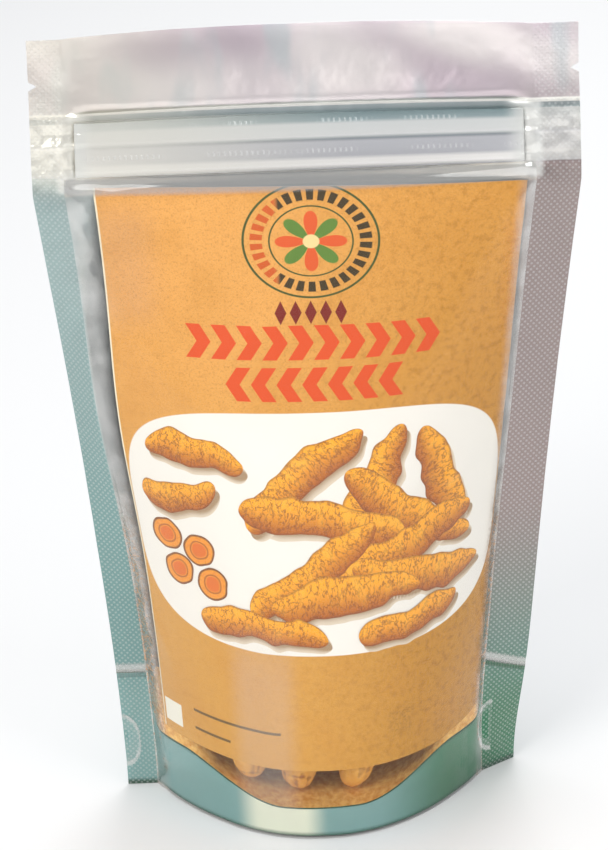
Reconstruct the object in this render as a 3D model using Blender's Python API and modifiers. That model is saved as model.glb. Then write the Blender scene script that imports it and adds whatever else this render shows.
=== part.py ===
"""A stand-up zip pouch holding dried turmeric fingers, modelled in its own frame.

The pouch stands on its lower rim with its clear face towards -Y and +Z up.
Lengths are in millimetres until a mesh is written, when MM turns them to metres.

Flat film is described by two numbers: u, the distance from the middle of the flat pouch
(-75 to 75), and t, the distance up the side seam from the foot (0 to 230).
"""

import math
import random

import bpy
import numpy as np

MM = 0.001

# Flat pouch
WIDTH = 150.0
HEIGHT = 230.0
GUSSET = 40.0
SEAL_LEFT = 9.0
SEAL_RIGHT = 12.5
FILM = 0.4
GAP = 0.3

# Filled pouch
FOOT_HALF = 59.3
FOOT_DEPTH = 34.0
FOOT_UPRIGHT = 3.0
WIDENING = 1.43
WIDE_HEIGHT = 187.0
TOP_TUCK = 0.75
CLOSING = 191.5
LEAN = math.radians(-0.4)
HEADER_BEND = math.radians(6.0)
BEND_START = 177.0
BEND_RUN = 13.0
HEADER_BOW = 6.7
MOUTH = 1.2
FULLNESS = 2.2
CROWDING = 0.18
LEFT_SEAL_TURN = math.radians(38.0)
RIGHT_SEAL_TURN = math.radians(10.0)
TURN_HEIGHT = 125.0
TURN_SPREAD = 45.0
FOOT_TURN = math.radians(35.0)
FOOT_TURN_SPREAD = 30.0

# Tear notches
NOTCH_DROP = 12.5
NOTCH_DEPTH = 2.5
NOTCH_HALF = 1.2

# Zip fastener
ZIP_LOW = 192.4
ZIP_HIGH = 207.0
ZIP_TRACK = 199.5
ZIP_FLANGE = 0.4
ZIP_HOOK = 0.9
ZIP_RIB_HALF = 0.7
ZIP_JAW = 0.8
ZIP_END = 3.0
ZIP_STATIONS = 12

# Bottom gusset
GUSSET_FILM = 0.3
BAND_MIDDLE = 10.3
BAND_RISE = 10.0
BAND_FLAT = 0.19
BAND_RUN = 0.56
BAND_CORNER = 60.0
GUSSET_REACH = 0.97
GUSSET_HEM = 1.0
GUSSET_LEG = 1.3

# Label card
CARD_LEFT = -58.3
CARD_RIGHT = 60.2
CARD_LOW = 22.0
CARD_TILT = math.radians(-1.2)
CARD_HIGH = 188.3
CARD = 0.3
CARD_GAP = 0.35
CARD_CLEAR = 1.2
CARD_CORNER = 4.5

# Turmeric fingers
FINGER_ROWS = ((-20.5, 8.0, 5.5), (-6.9, -14.0, -4.0), (6.9, 20.0, 3.0), (20.6, -6.0, 3.0))
FINGER_PITCH = 15.9
FINGER_RADIUS = 6.2
FINGER_GIRTH = (0.86, 1.04)
FINGER_LENGTH = (34.0, 50.0)
FINGER_SPACE = 1.5
FINGER_CLEAR = 1.3
FINGER_TAPER = 0.07
FINGER_RIPPLE = 0.04
FILL_HEIGHT = 114.0
FILL_LOW = 5.0
FILL_SHARE = 0.93
FLOOR_CLEAR = 0.7
FLOOR_DIP = 2.0
LANES = 6
LANE_START = -40
LANE_END = 150
LANE_STEP = 2
FINGER_SIDES = 8
FINGER_RINGS = 9
BEND = 1.6
BUD = 0.9
SEED = 7

U_LEFT = -WIDTH / 2 + SEAL_LEFT
U_RIGHT = WIDTH / 2 - SEAL_RIGHT
SEAL_OFFSET = (FILM + GAP) / 2
ZIP_FACE = ZIP_HOOK / 2 + GAP / 2
ZIP_OFFSET = ZIP_FACE + ZIP_FLANGE + GAP + FILM / 2


def smooth(x):
    """Ease from 0 to 1 as x goes from 0 to 1."""
    x = np.clip(x, 0.0, 1.0)
    return x * x * (3.0 - 2.0 * x)


PATH_T = np.linspace(0.0, HEIGHT, 461)
PATH_ANGLE = LEAN * smooth((PATH_T - FOOT_UPRIGHT) / 10.0)
PATH_ANGLE = PATH_ANGLE + HEADER_BEND * smooth((PATH_T - BEND_START) / BEND_RUN)
PATH_STEP = PATH_T[1]
PATH_Y = np.concatenate([[0.0], np.cumsum(np.sin(PATH_ANGLE[1:])) * PATH_STEP])
PATH_Z = np.concatenate([[0.0], np.cumsum(np.cos(PATH_ANGLE[1:])) * PATH_STEP])


def half_width(t):
    """Half the distance between the side edges at height t: narrow at the foot, tucked in at the top."""
    rise = np.clip((t - FOOT_UPRIGHT) / (WIDE_HEIGHT - FOOT_UPRIGHT), 0.0, 1.0)
    tuck = TOP_TUCK * smooth((t - WIDE_HEIGHT) / (HEIGHT - WIDE_HEIGHT))
    return FOOT_HALF + (WIDTH / 2 - FOOT_HALF) * rise**WIDENING - tuck


def swell(t):
    """How far each panel stands out from the middle surface at height t."""
    rise = np.clip((t - FOOT_UPRIGHT) / (CLOSING - FOOT_UPRIGHT), 0.0, 1.0)
    return FOOT_DEPTH * (1.0 - rise**2) ** 0.75


def crowd(v, t):
    """Where a flat share v, -1 to 1, comes to lie across the pouch: closer to the seals where it swells."""
    return v * (1.0 + CROWDING * (swell(t) / FOOT_DEPTH) ** 2 * (1.0 - v**2))


def middle(u, t):
    """The surface half-way between the two panels: x, y, z, v and steep.

    Each side seal is a flat strip that turns back by an angle that is largest at TURN_HEIGHT,
    and the right one turns back once more at its foot. v runs from -1 to 1 between the seals.
    steep is how much longer a turned seal's thickness is when it is measured along y.
    """
    bump = np.exp(-(((t - TURN_HEIGHT) / TURN_SPREAD) ** 2))
    turn_left = LEFT_SEAL_TURN * bump
    foot = np.exp(-((t / FOOT_TURN_SPREAD) ** 2))
    turn_right = RIGHT_SEAL_TURN * bump + FOOT_TURN * foot
    half = half_width(t)
    x_left = -half + SEAL_LEFT * np.cos(turn_left)
    x_right = half - SEAL_RIGHT * (np.cos(turn_right) + (1.0 - math.cos(FOOT_TURN)) * foot)
    y_left = -SEAL_LEFT * np.sin(turn_left)
    y_right = -SEAL_RIGHT * (np.sin(turn_right) - math.sin(FOOT_TURN) * foot)
    share = np.clip((u - U_LEFT) / (U_RIGHT - U_LEFT), 0.0, 1.0)
    out_left = np.clip(U_LEFT - u, 0.0, SEAL_LEFT)
    out_right = np.clip(u - U_RIGHT, 0.0, SEAL_RIGHT)
    v = crowd(2.0 * share - 1.0, t)
    share = (v + 1.0) / 2.0
    x = x_left + (x_right - x_left) * share
    x = x - out_left * np.cos(turn_left) + out_right * np.cos(turn_right)
    y = y_left + (y_right - y_left) * share
    y = y + out_left * np.sin(turn_left) + out_right * np.sin(turn_right)
    bow = HEADER_BOW * (1.0 - v**2) * smooth((t - CLOSING) / (HEIGHT - CLOSING))
    y = y + bow + np.interp(t, PATH_T, PATH_Y)
    z = np.interp(t, PATH_T, PATH_Z) + 0.0 * u
    steep = 1.0 / np.cos(turn_left * (u <= U_LEFT) + turn_right * (u >= U_RIGHT))
    return x, y, z, v, steep


def spread(u, t):
    """Distance in y from the middle surface to the middle of either film."""
    v, steep = middle(u, t)[3:]
    lens = swell(t) * (1.0 - np.abs(v) ** FULLNESS)
    band = smooth((t - CLOSING + 3.0) / 3.0) * (1.0 - smooth((t - ZIP_HIGH - 1.0) / 4.0))
    zipped = (ZIP_OFFSET - SEAL_OFFSET) * band * smooth((1.0 - np.abs(v)) / 0.02)
    mouth = MOUTH * (1.0 - v**2) * smooth((t - ZIP_HIGH - 2.0) / (HEIGHT - ZIP_HIGH - 2.0))
    return SEAL_OFFSET * steep + lens + zipped + mouth


def panel(u, t, side, inset=0.0):
    """A point of the front (side -1) or back (side 1) film, moved inwards by inset."""
    u = np.asarray(u, float)
    t = np.asarray(t, float)
    x, y, z = middle(u, t)[:3]
    step = 0.5
    slope_x = (spread(u + step, t) - spread(u - step, t)) / (2.0 * step)
    slope_z = (spread(u, t + step) - spread(u, t - step)) / (2.0 * step)
    along_y = inset * np.sqrt(1.0 + slope_x**2 + slope_z**2)
    return np.stack([x, y + side * (spread(u, t) - along_y), z], axis=-1)


def band_top(v):
    """Height of the bottom seal's upper edge, the U-shaped curve where the gusset leaves the panel."""
    v = np.abs(v)
    return BAND_MIDDLE + BAND_RISE * smooth((v - BAND_FLAT) / BAND_RUN) + (
        GUSSET - BAND_MIDDLE - BAND_RISE
    ) * v**BAND_CORNER


def column(v):
    """The flat column u at a share v, -1 to 1, of the way between the side seals."""
    return U_LEFT + (U_RIGHT - U_LEFT) * (v + 1.0) / 2.0


def gusset(v, q):
    """The bottom gusset: q runs -2 to -1 up the front band, -1 to 1 over the fold, 1 to 2 down the back."""
    side = np.where(q < 0.0, -1.0, 1.0)
    inset = FILM / 2 + GAP + GUSSET_FILM / 2
    top = band_top(v)
    u = column(v)
    low = GUSSET_HEM + (top - GUSSET_HEM) * (2.0 - np.abs(q))
    on_band = panel(u, low, side, inset)
    front = panel(u, top, -1.0, inset)
    back = panel(u, top, 1.0, inset)
    half_depth = (back[..., 1] - front[..., 1]) / 2.0
    leaf = GUSSET - top
    rise = np.sqrt(np.clip(leaf**2 - half_depth**2, 1.0, None))
    leg = np.abs(np.clip(q, -1.0, 1.0)) ** GUSSET_LEG
    share = (side * leg + 1.0) / 2.0
    free = front + (back - front) * share[..., None]
    free[..., 2] += rise * (1.0 - leg)
    return np.where((np.abs(q) > 1.0)[..., None], on_band, free)


def material(name, colour, roughness, metallic=0.0, alpha=1.0):
    """A Principled material of one colour."""
    mat = bpy.data.materials.new(name)
    mat.use_nodes = True
    shader = mat.node_tree.nodes["Principled BSDF"]
    shader.inputs["Base Color"].default_value = (*colour, 1.0)
    shader.inputs["Roughness"].default_value = roughness
    shader.inputs["Metallic"].default_value = metallic
    shader.inputs["Alpha"].default_value = alpha
    mat.diffuse_color = (*colour, alpha)
    return mat


def place(obj, root, collection, mat):
    """Parent a finished object to the pouch's root and give it its material."""
    for owner in list(obj.users_collection):
        owner.objects.unlink(obj)
    collection.objects.link(obj)
    obj.parent = root
    obj.data.materials.clear()
    obj.data.materials.append(mat)
    obj.data.shade_smooth()
    return obj


def sheet(name, columns, rows, surface, thickness):
    """A grid carried onto surface(column, row), split into triangles and thickened both ways."""
    bpy.ops.mesh.primitive_grid_add(
        x_subdivisions=len(columns) - 1, y_subdivisions=len(rows) - 1, size=2.0
    )
    obj = bpy.context.object
    obj.name = name
    mesh = obj.data
    flat = np.empty(len(mesh.vertices) * 3)
    mesh.vertices.foreach_get("co", flat)
    flat = flat.reshape(-1, 3)
    i = np.rint((flat[:, 0] + 1.0) / 2.0 * (len(columns) - 1)).astype(int)
    j = np.rint((flat[:, 1] + 1.0) / 2.0 * (len(rows) - 1)).astype(int)
    points = surface(np.asarray(columns, float)[i], np.asarray(rows, float)[j])
    mesh.vertices.foreach_set("co", (points * MM).ravel())
    mesh.update()
    split = obj.modifiers.new("Triangulate", "TRIANGULATE")
    split.quad_method = "FIXED"
    wall = obj.modifiers.new("Solidify", "SOLIDIFY")
    wall.thickness = thickness * MM
    wall.offset = 0.0
    return obj


def film_columns():
    """Flat columns of both films: two strips in each side seal, and 18 between them."""
    between = np.linspace(U_LEFT + 1.5, U_RIGHT - 1.5, 18)
    left = [-WIDTH / 2, (U_LEFT - WIDTH / 2) / 2, U_LEFT]
    right = [U_RIGHT, (U_RIGHT + WIDTH / 2) / 2, WIDTH / 2]
    return np.concatenate([left, between, right])


def film_rows():
    """Heights of both films' rows, close together at the foot, the zip and the tear notches."""
    body = [0.0, FOOT_UPRIGHT, 9.0, 16.0, 25.0, 36.0, 49.0, 63.0, 78.0, 93.0, 108.0, 123.0, 138.0]
    neck = [151.0, 162.0, 171.0, 178.5, 184.0, 188.5, CLOSING, 196.5, 202.0, ZIP_HIGH + 1.0]
    tear = HEIGHT - NOTCH_DROP
    header = [ZIP_HIGH + 5.0, tear - NOTCH_HALF, tear, tear + NOTCH_HALF, 224.0, HEIGHT]
    return np.array(body + neck + header)


def film(name, side):
    """One panel of the pouch, with its tear notches, from the foot to the open top edge."""

    def surface(u, t):
        points = panel(u, t, side)
        notched = (np.abs(t - (HEIGHT - NOTCH_DROP)) < 0.1) & (np.abs(u) > WIDTH / 2 - 0.1)
        points[:, 0] -= NOTCH_DEPTH * np.sign(u) * notched
        return points

    return sheet(name, film_columns(), film_rows(), surface, FILM)


def bottom_gusset():
    """The folded film under the contents, sealed to both panels round the U-shaped curve."""
    shares = GUSSET_REACH * np.sin(np.linspace(-1.0, 1.0, 17) * math.pi / 2)
    across = [-2.0, -1.5, -1.0, -0.85, -0.6, -0.35, -0.12, 0.12, 0.35, 0.6, 0.85, 1.0, 1.5, 2.0]
    return sheet("film_gusset", shares, across, gusset, GUSSET_FILM)


def label_card():
    """The printed card, loose between the clear film and the contents."""
    inset = FILM / 2 + CARD_GAP + CARD / 2

    def surface(u, share):
        v = 2.0 * (u - U_LEFT) / (U_RIGHT - U_LEFT) - 1.0
        tilt = math.tan(CARD_TILT) * u
        low = np.maximum(CARD_LOW + tilt, band_top(v) + CARD_CLEAR + CARD_CORNER * np.abs(v) ** 6)
        return panel(u, low + (CARD_HIGH + tilt - low) * share, -1.0, inset)

    columns = np.linspace(CARD_LEFT, CARD_RIGHT, 15)
    return sheet("label_card", columns, np.linspace(0.0, 1.0, 15), surface, CARD)


def zip_strip(name, side, outline):
    """A zip strip: an outline of (depth, height) points carried between the side seals."""
    stations = np.linspace(U_LEFT + ZIP_END, U_RIGHT - ZIP_END, ZIP_STATIONS)
    points = []
    for u in stations:
        for depth, t in outline:
            x, y, z = middle(np.array(u), np.array(t))[:3]
            points.append((x * MM, (y + side * depth) * MM, z * MM))
    count = len(outline)
    faces = [tuple(range(count)), tuple(range(len(points) - 1, len(points) - 1 - count, -1))]
    for s in range(ZIP_STATIONS - 1):
        for k in range(count):
            a = s * count + k
            b = s * count + (k + 1) % count
            faces.append((b, a, a + count, b + count))
    if side < 0:
        faces = [face[::-1] for face in faces]
    mesh = bpy.data.meshes.new(name)
    mesh.from_pydata(points, [], faces)
    mesh.update()
    return bpy.data.objects.new(name, mesh)


def rib_outline():
    """Section of the strip with one rib, which presses into the other strip's groove."""
    outer = ZIP_FACE + ZIP_FLANGE
    tip = ZIP_FACE - ZIP_HOOK
    return [
        (outer, ZIP_LOW),
        (ZIP_FACE, ZIP_LOW),
        (ZIP_FACE, ZIP_TRACK - ZIP_RIB_HALF),
        (tip, ZIP_TRACK - ZIP_RIB_HALF),
        (tip, ZIP_TRACK + ZIP_RIB_HALF),
        (ZIP_FACE, ZIP_TRACK + ZIP_RIB_HALF),
        (ZIP_FACE, ZIP_HIGH),
        *[(outer, t) for t in np.linspace(ZIP_HIGH, ZIP_LOW, 4)[:3]],
    ]


def groove_outline():
    """Section of the strip with two jaws, one above and one below the rib."""
    outer = ZIP_FACE + ZIP_FLANGE
    tip = ZIP_FACE - ZIP_HOOK
    near = ZIP_RIB_HALF + GAP
    far = near + ZIP_JAW
    return [
        (outer, ZIP_LOW),
        (ZIP_FACE, ZIP_LOW),
        (ZIP_FACE, ZIP_TRACK - far),
        (tip, ZIP_TRACK - far),
        (tip, ZIP_TRACK - near),
        (ZIP_FACE, ZIP_TRACK - near),
        (ZIP_FACE, ZIP_TRACK + near),
        (tip, ZIP_TRACK + near),
        (tip, ZIP_TRACK + far),
        (ZIP_FACE, ZIP_TRACK + far),
        (ZIP_FACE, ZIP_HIGH),
        *[(outer, t) for t in np.linspace(ZIP_HIGH, ZIP_LOW, 4)[:3]],
    ]


def room(x, y, z, radius):
    """True where a finger of this radius, centred here, is clear of film, card and gusset."""
    t = z / math.cos(LEAN)
    half = float(half_width(t))
    left = -half + SEAL_LEFT
    right = half - SEAL_RIGHT
    v = 2.0 * (x - left) / (right - left) - 1.0
    if abs(v) > FILL_SHARE or z + radius > FILL_HEIGHT or z < FILL_LOW:
        return False
    flat = v
    for _ in range(4):
        flat = v * flat / float(crowd(flat, t)) if flat else 0.0
    u = column(np.array(flat))
    front = panel(u, np.array(t), -1.0)[1]
    back = panel(u, np.array(t), 1.0)[1]
    lean_out = swell(t) * FULLNESS * abs(v) ** (FULLNESS - 1.0) / ((right - left) / 2.0)
    clear = (radius + FINGER_CLEAR) * math.hypot(1.0, lean_out)
    if y - front < clear or back - y < clear:
        return False
    q = 2.0 * (y - front) / (back - front) - 1.0
    near = np.clip(flat + np.array([0.0, 0.1, -0.1]), -0.95, 0.95)
    floor = gusset(near, np.full(3, q))[:, 2] - np.array([0.0, FLOOR_DIP, FLOOR_DIP])
    return z - radius - FLOOR_CLEAR > floor.max()


def finger_places():
    """Rows of fingers one behind another; in a row all lie at one tilt, end to end in side-by-side lanes."""
    draw = random.Random(SEED)
    places = []
    for y_row, tilt, shift in FINGER_ROWS:
        angle = math.radians(tilt)
        along = (math.sin(angle), math.cos(angle))
        across = (math.cos(angle), -math.sin(angle))
        for lane in range(-LANES, LANES + 1):
            offset = lane * FINGER_PITCH + shift
            radius = FINGER_RADIUS * draw.uniform(*FINGER_GIRTH)
            start = None
            resume = LANE_START
            for step in range(LANE_START, LANE_END, LANE_STEP):
                x = across[0] * offset + along[0] * step
                z = across[1] * offset + along[1] * step
                y = y_row + math.tan(LEAN) * z
                if step < resume or not room(x, y, z, radius):
                    start = None
                    continue
                if start is None:
                    start = step
                    length = draw.uniform(*FINGER_LENGTH)
                if step - start + 2.0 * radius >= length:
                    back = (step - start) / 2.0
                    centre = (x - along[0] * back, y - math.tan(LEAN) * along[1] * back, z - along[1] * back)
                    places.append((centre, angle, length, radius, draw.random()))
                    resume = step + 2.0 * radius + FINGER_SPACE
                    start = None
    return places


def finger(name, centre, angle, length, radius, chance):
    """A dried finger: a blunt tapered rod, bent a little in its row, with one swollen bud.

    A sphere's rings are spaced evenly from -1 to 1 along the rod, where the radius is the square
    root of 1 - c^4.
    """
    bpy.ops.mesh.primitive_uv_sphere_add(
        segments=FINGER_SIDES, ring_count=FINGER_RINGS + 1, radius=1.0
    )
    obj = bpy.context.object
    obj.name = name
    mesh = obj.data
    ball = np.empty(len(mesh.vertices) * 3)
    mesh.vertices.foreach_get("co", ball)
    ball = ball.reshape(-1, 3)
    c = 1.0 - 2.0 * np.arccos(np.clip(ball[:, 2], -1.0, 1.0)) / math.pi
    turn = np.arctan2(ball[:, 1], ball[:, 0])
    way = 1.0 if chance > 0.5 else -1.0
    uneven = FINGER_TAPER * way * c + FINGER_RIPPLE * np.sin(7.0 * c + 6.0 * chance)
    girth = radius * np.sqrt(1.0 - c**4) * (1.0 + uneven)
    bud = BUD * np.exp(-(((c - 0.7 * chance + 0.3) / 0.2) ** 2)) * np.clip(-way * np.cos(turn), 0.0, 1.0)
    bend = BEND * way * (0.5 - c**2)
    side = (girth + bud) * np.cos(turn) + bend
    depth = girth * np.sin(turn)
    up = 0.5 * length * c
    x = centre[0] + side * math.cos(angle) + up * math.sin(angle)
    z = centre[2] - side * math.sin(angle) + up * math.cos(angle)
    y = centre[1] + depth + math.tan(LEAN) * (z - centre[2])
    mesh.vertices.foreach_set("co", (np.stack([x, y, z], axis=1) * MM).ravel())
    mesh.update()
    return obj


def centred_depth():
    """How far the whole pouch moves along Y so that the middle of its depth is at the origin."""
    u, t = np.meshgrid(film_columns(), film_rows())
    front = panel(u, t, -1.0, -FILM / 2)[..., 1].min()
    back = panel(u, t, 1.0, -FILM / 2)[..., 1].max()
    return -(front + back) / 2.0


def build():
    """Make every piece of the pouch under one root, in a collection named for the object."""
    for old in list(bpy.data.objects):
        bpy.data.objects.remove(old, do_unlink=True)
    pouch = bpy.data.collections.new("turmeric_pouch")
    bpy.context.scene.collection.children.link(pouch)
    root = bpy.data.objects.new("pouch_root", None)
    root.location = (0.0, centred_depth() * MM, 0.0)
    pouch.objects.link(root)

    clear = material("clear film", (0.90, 0.90, 0.88), 0.08, alpha=0.25)
    silver = material("metallised film", (0.62, 0.66, 0.66), 0.28, metallic=0.9)
    milky = material("zip plastic", (0.80, 0.82, 0.80), 0.25, alpha=0.7)
    paper = material("printed card", (0.80, 0.55, 0.24), 0.55)
    root_skin = material("dried turmeric", (0.62, 0.34, 0.07), 0.8)

    place(film("film_front", -1.0), root, pouch, clear)
    place(film("film_back", 1.0), root, pouch, silver)
    place(bottom_gusset(), root, pouch, silver)
    place(zip_strip("zip_rib", -1.0, rib_outline()), root, pouch, milky)
    place(zip_strip("zip_groove", 1.0, groove_outline()), root, pouch, milky)
    place(label_card(), root, pouch, paper)
    for number, spot in enumerate(finger_places(), start=1):
        place(finger(f"finger_{number:02d}", *spot), root, pouch, root_skin)


build()
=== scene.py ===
"""The looks of a stand-up zip pouch of dried turmeric fingers, built round its solids.

Lengths are in millimetres until a mesh is written, when MM turns them to metres.
Flat film is described by two numbers: u, the distance from the middle of the flat pouch
(-75 to 75), and t, the distance up the side seam from the foot (0 to 230).
"""

import itertools
import math
import random

import bpy
import numpy as np
from mathutils import Matrix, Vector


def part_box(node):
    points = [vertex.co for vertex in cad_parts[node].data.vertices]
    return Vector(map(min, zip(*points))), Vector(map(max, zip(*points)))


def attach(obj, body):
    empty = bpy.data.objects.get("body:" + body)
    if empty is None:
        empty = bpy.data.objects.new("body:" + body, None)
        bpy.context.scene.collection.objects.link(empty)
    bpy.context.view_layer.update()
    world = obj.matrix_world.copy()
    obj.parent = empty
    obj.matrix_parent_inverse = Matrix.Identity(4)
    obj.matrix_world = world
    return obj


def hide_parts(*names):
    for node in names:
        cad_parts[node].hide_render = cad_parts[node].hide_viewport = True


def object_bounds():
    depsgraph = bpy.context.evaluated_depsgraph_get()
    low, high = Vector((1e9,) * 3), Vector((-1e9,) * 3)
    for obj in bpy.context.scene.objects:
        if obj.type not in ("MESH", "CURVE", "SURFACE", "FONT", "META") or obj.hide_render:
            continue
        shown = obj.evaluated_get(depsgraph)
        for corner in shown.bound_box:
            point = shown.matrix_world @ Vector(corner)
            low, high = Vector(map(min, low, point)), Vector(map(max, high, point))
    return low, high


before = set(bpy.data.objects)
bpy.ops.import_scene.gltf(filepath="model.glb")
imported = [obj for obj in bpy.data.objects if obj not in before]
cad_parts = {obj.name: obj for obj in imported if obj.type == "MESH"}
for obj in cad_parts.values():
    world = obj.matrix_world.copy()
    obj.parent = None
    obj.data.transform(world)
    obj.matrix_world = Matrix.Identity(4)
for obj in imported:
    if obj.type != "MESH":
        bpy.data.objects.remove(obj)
cad_box = [list(corner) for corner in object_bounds()]

MM = 0.001

# Camera, fitted to the pouch's outline
CAMERA_ELEVATION = math.radians(23.91)
CAMERA_ROLL = math.radians(-1.91)
CAMERA_YAW = math.radians(-0.51)
CAMERA_DISTANCE = 800.0
CAMERA_TARGET = (-3.07, 0.08, 115.69)
CAMERA_LENS = 119.41

# Flat pouch, as in the solids
WIDTH = 150.0
HEIGHT = 230.0
GUSSET = 40.0
SEAL_LEFT = 9.0
SEAL_RIGHT = 12.5
FILM = 0.4
GAP = 0.3

# Filled pouch, as in the solids
FOOT_HALF = 59.3
FOOT_DEPTH = 34.0
FOOT_UPRIGHT = 3.0
WIDENING = 1.43
WIDE_HEIGHT = 187.0
TOP_TUCK = 0.75
CLOSING = 191.5
LEAN = math.radians(-0.4)
HEADER_BEND = math.radians(6.0)
BEND_START = 177.0
BEND_RUN = 13.0
HEADER_BOW = 6.7
MOUTH = 1.2
FULLNESS = 2.2
CROWDING = 0.18
LEFT_SEAL_TURN = math.radians(38.0)
RIGHT_SEAL_TURN = math.radians(10.0)
TURN_HEIGHT = 125.0
TURN_SPREAD = 45.0
FOOT_TURN = math.radians(35.0)
FOOT_TURN_SPREAD = 30.0
NOTCH_DROP = 12.5
NOTCH_DEPTH = 2.5
NOTCH_HALF = 1.2

# Zip, gusset and card, as in the solids
ZIP_LOW = 192.4
ZIP_HIGH = 207.0
ZIP_TRACK = 199.5
ZIP_FLANGE = 0.4
ZIP_HOOK = 0.9
ZIP_RIB_HALF = 0.7
ZIP_JAW = 0.8
ZIP_END = 3.0
ZIP_FADE = 0.12
BAND_MIDDLE = 10.3
BAND_RISE = 10.0
BAND_FLAT = 0.19
BAND_RUN = 0.56
BAND_CORNER = 60.0
GUSSET_HEM = 1.0
GUSSET_LEG = 1.3
CARD_LEFT = -58.3
CARD_RIGHT = 60.2
CARD_LOW = 22.0
CARD_TILT = math.radians(-1.2)
CARD_HIGH = 188.3
CARD = 0.3
CARD_GAP = 0.35
CARD_CLEAR = 1.2
CARD_CORNER = 4.5

# Finer sizes that only the looks have
FILM_FINE = 0.12
WELD_HALF = 0.13
WELD_RUN = 3.5
GUSSET_DEPTH = 0.14
SEAL_STEP = 0.14
FOLD_SINK = 0.6
FOLD_DROP = 0.28
ZIP_SQUARE = 0.02

# Half-round spots in the seals where front and back film meet
SPOT_WIDE = 4.6
SPOT_HIGH = 8.0
SPOT_HEIGHT = 15.4
SPOT_LEFT = -WIDTH / 2
SPOT_RIGHT = 65.6
RIM_RADIUS = 1.05
RIM_WIDTH = 0.13
RIM_HEIGHT = 0.3

# Columns and rows of the films' grids: finer in the side seals, at the zip and in the header
SEAL_COLUMNS = 5.0
ZIP_ROWS_LOW = 188.0
ZIP_ROWS_HIGH = 212.0

# The gusset's leaf is told from the bands by its flat t, which starts here and runs down
DUST_MARK = -20.0
LEAF_RUN = 30.0

# Pitch of the seals' pressed dots and of the zip's small welds
KNURL = 1.7
ZIP_WELD_PITCH = 1.5

# Print on the card: middle and half sizes of the medallion and of the white field
MEDALLION = (0.5, 175.0)
MEDALLION_HALF = (19.0, 14.3)
WHITE_FIELD = (1.0, 94.6)
WHITE_FIELD_HALF = (58.6, 36.0)
DIAMOND_PITCH = 4.2
DIAMOND_HALF_ROW = 10.5
DIAMOND_HEIGHT = 157.0
INK = 0.012
INK_LAYER = 0.016
SLICE = 10.5

# Printed pile of roots, back ones first: u, t, length, degrees
PILE = (
    (-4.0, 112.0, 44.0, 38.0),
    (38.0, 107.0, 34.0, 112.0),
    (17.0, 108.0, 38.0, 62.0),
    (28.0, 99.0, 48.0, -34.0),
    (2.0, 99.0, 50.0, -12.0),
    (24.0, 88.0, 52.0, 20.0),
    (-2.0, 84.0, 46.0, 34.0),
    (31.0, 79.5, 44.0, -10.0),
    (8.0, 76.0, 46.0, 4.0),
)

# Printed roots on their own: u, t, length, thickness, degrees, bend, layer
LONE_ROOTS = (
    (-35.0, 118.5, 30.0, 8.8, -8.0, 2.0, 2),
    (-41.0, 105.0, 25.0, 8.4, 12.0, -1.8, 3),
    (-18.0, 66.5, 40.0, 9.0, -6.0, 1.8, 11),
    (28.0, 65.5, 34.0, 8.6, 9.0, -1.6, 12),
)

# Printed cut discs: u, t
DISCS = ((-47.0, 91.5), (-36.5, 88.5), (-44.0, 81.0), (-33.0, 78.5))

BOX_FRONT = cad_box[0][1] / MM
BOX_BACK = cad_box[1][1] / MM
U_LEFT = -WIDTH / 2 + SEAL_LEFT
U_RIGHT = WIDTH / 2 - SEAL_RIGHT
SEAL_OFFSET = (FILM + GAP) / 2
ZIP_FACE = ZIP_HOOK / 2 + GAP / 2
ZIP_OFFSET = ZIP_FACE + ZIP_FLANGE + GAP + FILM / 2
CARD_FACE = FILM / 2 + CARD_GAP

# Front fingers whose ends show under the card: how far each has slid along x, y and z
SETTLED = {
    "finger_01": (1.5, -1.2, -5.0),
    "finger_03": (0.0, -3.2, -2.4),
    "finger_05": (0.0, -3.2, -1.2),
}

# Creases of the film: start and end as (u, t), half width, height
CREASES = (
    ((-24.0, 147.7), (-5.8, 157.9), 2.6, 0.55),
    ((34.0, 104.0), (50.0, 109.4), 2.2, 0.75),
    ((-18.0, 58.0), (-16.0, 24.0), 5.0, 0.60),
    ((51.0, 220.0), (61.5, 210.0), 1.6, 0.45),
    ((57.0, 194.0), (63.0, 189.0), 1.4, 0.45),
    ((-69.0, 42.0), (-59.0, 39.0), 1.6, 0.55),
    ((62.0, 39.4), (73.0, 37.0), 1.2, 0.45),
    ((-64.0, 186.0), (-50.0, 190.5), 1.6, 0.40),
    ((-60.0, 66.0), (-52.0, 47.0), 2.0, 0.30),
    ((58.0, 140.0), (63.0, 120.0), 1.8, 0.35),
    ((56.0, 60.0), (62.5, 44.0), 1.6, 0.40),
)


def smooth(x):
    """Ease from 0 to 1 as x goes from 0 to 1."""
    x = np.clip(x, 0.0, 1.0)
    return x * x * (3.0 - 2.0 * x)


def bell(x, centre, width):
    """1 at the centre, falling away over this width on both sides."""
    return np.exp(-(((x - centre) / width) ** 2))


PATH_T = np.linspace(0.0, HEIGHT, 461)
PATH_ANGLE = LEAN * smooth((PATH_T - FOOT_UPRIGHT) / 10.0)
PATH_ANGLE = PATH_ANGLE + HEADER_BEND * smooth((PATH_T - BEND_START) / BEND_RUN)
PATH_STEP = PATH_T[1]
PATH_Y = np.concatenate([[0.0], np.cumsum(np.sin(PATH_ANGLE[1:])) * PATH_STEP])
PATH_Z = np.concatenate([[0.0], np.cumsum(np.cos(PATH_ANGLE[1:])) * PATH_STEP])


def half_width(t):
    """Half the distance between the side edges at height t: narrow at the foot, tucked in at the top."""
    rise = np.clip((t - FOOT_UPRIGHT) / (WIDE_HEIGHT - FOOT_UPRIGHT), 0.0, 1.0)
    tuck = TOP_TUCK * smooth((t - WIDE_HEIGHT) / (HEIGHT - WIDE_HEIGHT))
    return FOOT_HALF + (WIDTH / 2 - FOOT_HALF) * rise**WIDENING - tuck


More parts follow.
